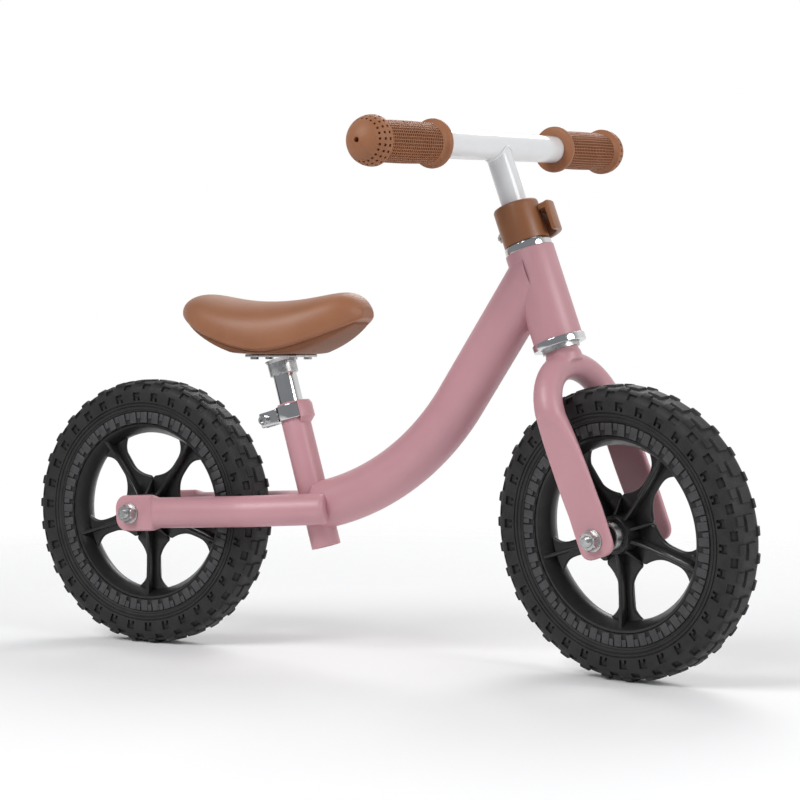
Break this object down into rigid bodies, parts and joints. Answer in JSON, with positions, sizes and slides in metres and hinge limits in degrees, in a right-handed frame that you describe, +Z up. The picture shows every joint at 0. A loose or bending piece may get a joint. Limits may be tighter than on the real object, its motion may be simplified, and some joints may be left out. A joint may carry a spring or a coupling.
{
  "type": "balance bike",
  "caption": "Child's balance bike with one curved main tube, bent-tube fork, moulded spoked wheels on bearings, clamped handlebar with soft grips, and padded saddle.",
  "frame": {"origin": "on the ground, below the middle of the bike's box", "axes": "+X forward, along the bike; +Y to the rider's left, along the rear axle; +Z up"},
  "size_m": [0.8457, 0.453, 0.5612],
  "materials": {
    "frame_paint": "satin powder-coat, dusty pink",
    "bright_chrome": "bright chrome plate",
    "bar_paint": "gloss white paint",
    "grip_rubber": "matt brown rubber with a pattern of small holes",
    "clamp_plastic": "satin brown moulded nylon",
    "tyre_foam": "matt black moulded foam",
    "rim_plastic": "black moulded nylon, slight sheen",
    "seal_rubber": "black rubber seal",
    "saddle_skin": "smooth brown imitation leather over foam",
    "pan_plastic": "black moulded saddle pan",
    "zinc_steel": "zinc-plated steel"
  },
  "bodies": {
    "frame": {"head_tube": "frame_paint", "main_tube": "frame_paint", "seat_tube": "frame_paint", "chainstay_left": "frame_paint", "chainstay_right": "frame_paint", "upper_headset_cup": "bright_chrome", "lower_headset_cup": "bright_chrome", "seat_clamp_band": "bright_chrome", "seat_clamp_bolt": "zinc_steel", "seat_clamp_nut": "zinc_steel", "rear_axle": "zinc_steel", "rear_axle_nuts": "zinc_steel", "rear_axle_washers": "zinc_steel", "rear_axle_spacers": "zinc_steel", "rear_inner_races": "zinc_steel", "rear_bearing_balls": "zinc_steel"},
    "rear_wheel": {"rear_tyre": "tyre_foam", "rear_rim": "rim_plastic", "rear_hub_sleeve": "zinc_steel", "rear_outer_races": "zinc_steel", "rear_bearing_seals": "seal_rubber"},
    "fork": {"steerer_tube": "frame_paint", "fork_crown": "frame_paint", "fork_leg_left": "frame_paint", "fork_leg_right": "frame_paint", "headset_cones": "zinc_steel", "headset_balls": "zinc_steel", "front_axle": "zinc_steel", "front_axle_nuts": "zinc_steel", "front_axle_washers": "zinc_steel", "front_axle_spacers": "zinc_steel", "front_inner_races": "zinc_steel", "front_bearing_balls": "zinc_steel", "clamp_collar": "clamp_plastic", "clamp_eye_bolt": "zinc_steel", "clamp_nut": "zinc_steel", "lever_pin": "zinc_steel"},
    "front_wheel": {"front_tyre": "tyre_foam", "front_rim": "rim_plastic", "front_hub_sleeve": "zinc_steel", "front_outer_races": "zinc_steel", "front_bearing_seals": "seal_rubber"},
    "lever": {"clamp_lever": "clamp_plastic"},
    "handlebar": {"handlebar_bar": "bar_paint", "handlebar_stem": "bar_paint", "grip_left": "grip_rubber", "grip_right": "grip_rubber"},
    "seat": {"seat_post": "bright_chrome", "saddle_bracket": "zinc_steel", "saddle_base": "pan_plastic", "saddle_cover": "saddle_skin", "saddle_screws": "zinc_steel"}
  },
  "joints": [
    {"name": "steering", "type": "hinge", "parent": "frame", "child": "fork", "pos_m": [0.27481, 0, 0.14394], "axis": [-0.3322, 0, 0.9432], "continuous": true},
    {"name": "rear_wheel_spin", "type": "hinge", "parent": "frame", "child": "rear_wheel", "pos_m": [-0.27785, 0, 0.145], "axis": [0, 1, 0], "continuous": true},
    {"name": "front_wheel_spin", "type": "hinge", "parent": "fork", "child": "front_wheel", "pos_m": [0.27901, -0.00114, 0.14542], "axis": [0.233, 0.969, 0.082], "continuous": true},
    {"name": "handlebar_height", "type": "slide", "parent": "fork", "child": "handlebar", "axis": [-0.3322, 0, 0.9432], "range_m": [-0.03, 0.06]},
    {"name": "lever_swing", "type": "hinge", "parent": "fork", "child": "lever", "pos_m": [0.15818, 0.03154, 0.4416], "axis": [-0.3322, 0, 0.9432], "range_deg": [0, 100]},
    {"name": "seat_height", "type": "slide", "parent": "frame", "child": "seat", "axis": [-0.2723, 0, 0.9622], "range_m": [-0.03, 0.06]}
  ]
}
